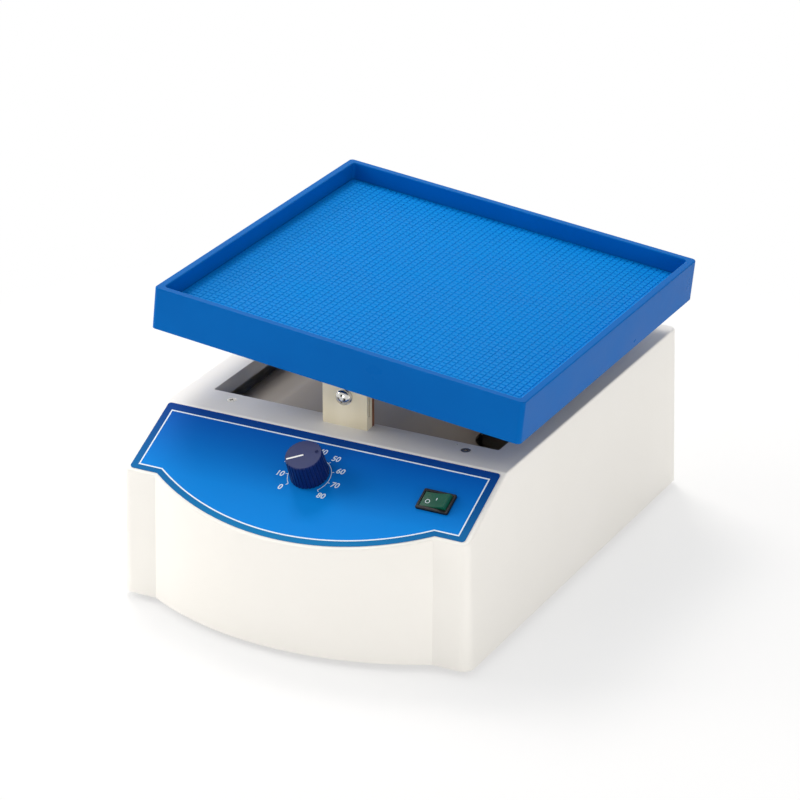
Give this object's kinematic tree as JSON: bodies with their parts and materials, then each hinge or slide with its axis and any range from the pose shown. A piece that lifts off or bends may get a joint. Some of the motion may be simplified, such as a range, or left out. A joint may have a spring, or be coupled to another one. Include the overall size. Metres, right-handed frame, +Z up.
{
  "type": "bench rocking shaker",
  "caption": "Laboratory bench shaker whose square matted tray rocks from side to side on two pivot blocks, driven by a gear motor, crank and rod under a casing with a sloped control panel.",
  "frame": {"origin": "on the bench, in the middle of the four feet and of the casing's width", "axes": "+X to the right along the front, -Y towards the user and the control panel, +Z up"},
  "size_m": [0.2494, 0.3319, 0.1846],
  "materials": {
    "casing_plastic": "satin",
    "block_plastic": "satin",
    "overlay_film": "satin",
    "tray_plastic": "glossy",
    "mat_rubber": "matt",
    "knob_plastic": "satin",
    "pointer_white": "matt",
    "switch_black": "glossy",
    "rocker_green": "glossy",
    "plated_screws": "bright",
    "black_steel": "matt",
    "zinc_sheet": "satin",
    "bright_steel": "bright",
    "brown_plate": "satin",
    "bronze": "satin",
    "brass_parts": "bright",
    "cast_aluminium": "cast",
    "gearbox_zinc": "cast",
    "motor_steel": "satin",
    "board_laminate": "satin",
    "component_plastic": "satin",
    "core_steel": "matt",
    "coil_tape": "satin",
    "foot_rubber": "matt",
    "fuse_glass": "clear"
  },
  "bodies": {
    "base": {"housing_shell": "casing_plastic", "front_pivot_block": "block_plastic", "rear_pivot_block": "block_plastic", "control_overlay": "overlay_film", "switch_frame": "switch_black", "inlet_socket": "switch_black", "pivot_screws": "plated_screws", "pivot_washers": "plated_screws", "deck_screws": "plated_screws", "block_screws": "plated_screws", "bracket_screws": "plated_screws", "gearbox_screws": "plated_screws", "plate_screws": "plated_screws", "foot_screws": "plated_screws", "inlet_screws": "plated_screws", "chassis_screws": "plated_screws", "chassis_pan": "zinc_sheet", "motor_bracket": "zinc_sheet", "bottom_plate": "zinc_sheet", "pivot_nut_plates": "brown_plate", "pivot_sleeves": "bronze", "inlet_pins": "brass_parts", "switch_tabs": "brass_parts", "pot_nut": "brass_parts", "board_standoffs": "brass_parts", "gearbox_housing": "gearbox_zinc", "board_heatsink": "gearbox_zinc", "motor_can": "motor_steel", "speed_pot_body": "motor_steel", "control_board": "board_laminate", "terminal_block": "component_plastic", "board_capacitor": "component_plastic", "transformer_core": "core_steel", "transformer_coil": "coil_tape", "rubber_feet": "foot_rubber"},
    "tray": {"tray_shell": "tray_plastic", "anti_slip_mat": "mat_rubber", "tray_carrier": "zinc_sheet", "tray_screws": "plated_screws", "drive_lug": "zinc_sheet", "lug_rivets": "plated_screws", "lug_pin": "bright_steel", "lug_clip": "plated_screws"},
    "rod": {"connecting_rod": "cast_aluminium", "rod_bush": "bronze", "bearing_rings": "bright_steel", "bearing_balls": "bright_steel", "crank_pin_screw": "black_steel", "crank_pin_spacer": "bright_steel"},
    "crank": {"crank_disc": "cast_aluminium", "crank_set_screw": "black_steel", "output_shaft": "bright_steel"},
    "knob": {"speed_knob": "knob_plastic", "knob_pointer": "pointer_white", "knob_set_screw": "black_steel", "pot_shaft": "bright_steel"},
    "rocker": {"switch_rocker": "rocker_green"},
    "fuse_holder": {"fuse_drawer": "switch_black", "fuse": "fuse_glass"}
  },
  "joints": [
    {"name": "tray_rock", "type": "hinge", "parent": "base", "child": "tray", "pos_m": [0, 0.0255, 0.1295], "axis": [0, 1, 0], "range_deg": [-12, 0]},
    {"name": "rod_swing", "type": "hinge", "parent": "tray", "child": "rod", "pos_m": [0.08273, 0.0255, 0.13217], "axis": [0, 1, 0], "range_deg": [0, 10.35]},
    {"name": "crank_spin", "type": "hinge", "parent": "base", "child": "crank", "pos_m": [0.08273, 0.0255, 0.068], "axis": [0, 1, 0], "continuous": true},
    {"name": "speed_knob_turn", "type": "hinge", "parent": "base", "child": "knob", "pos_m": [0, -0.12373, 0.09592], "axis": [0, -0.4402, 0.8979], "range_deg": [-258, 12]},
    {"name": "power_rocker", "type": "hinge", "parent": "base", "child": "rocker", "pos_m": [0.0836, -0.124, 0.09645], "axis": [0, 0.8979, 0.4402], "range_deg": [0, 20]},
    {"name": "fuse_drawer_slide", "type": "slide", "parent": "base", "child": "fuse_holder", "axis": [0, 0.9997, 0.0262], "range_m": [0, 0.018]}
  ],
  "couplings": [
    {"joint": "rod_swing", "follows": "tray_rock", "ratio": -0.86132},
    {"joint": "crank_spin", "follows": "tray_rock", "ratio": -14.861}
  ]
}
